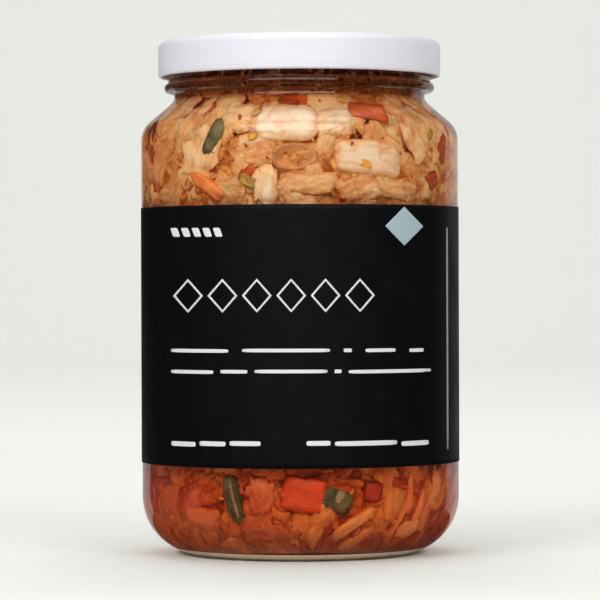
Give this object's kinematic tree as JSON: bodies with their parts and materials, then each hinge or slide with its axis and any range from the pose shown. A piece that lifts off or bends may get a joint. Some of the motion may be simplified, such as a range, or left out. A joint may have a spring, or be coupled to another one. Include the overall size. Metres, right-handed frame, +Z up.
{
  "type": "kimchi jar",
  "caption": "Shut round glass jar of packed kimchi with a white metal lug lid, a short neck with a bead, a rounded shoulder and heel, and a wide black wrapped label.",
  "frame": {"origin": "centre of the base, on the surface that the jar stands on", "axes": "+Z up along the jar's axis, -Y out of the front of the label, +X to the right seen from the front"},
  "size_m": [0.0912, 0.0912, 0.1452],
  "materials": {
    "clear_glass": "smooth clear soda-lime glass",
    "white_lid": "satin white lacquer on thin pressed steel",
    "black_label": "smooth coated paper, near black, with pale printed shapes",
    "kimchi": "wet cabbage, spring onion and chilli in orange-red brine"
  },
  "bodies": {
    "root": {"jar_glass": "clear_glass", "lid": "white_lid", "label": "black_label", "kimchi": "kimchi"}
  },
  "joints": []
}
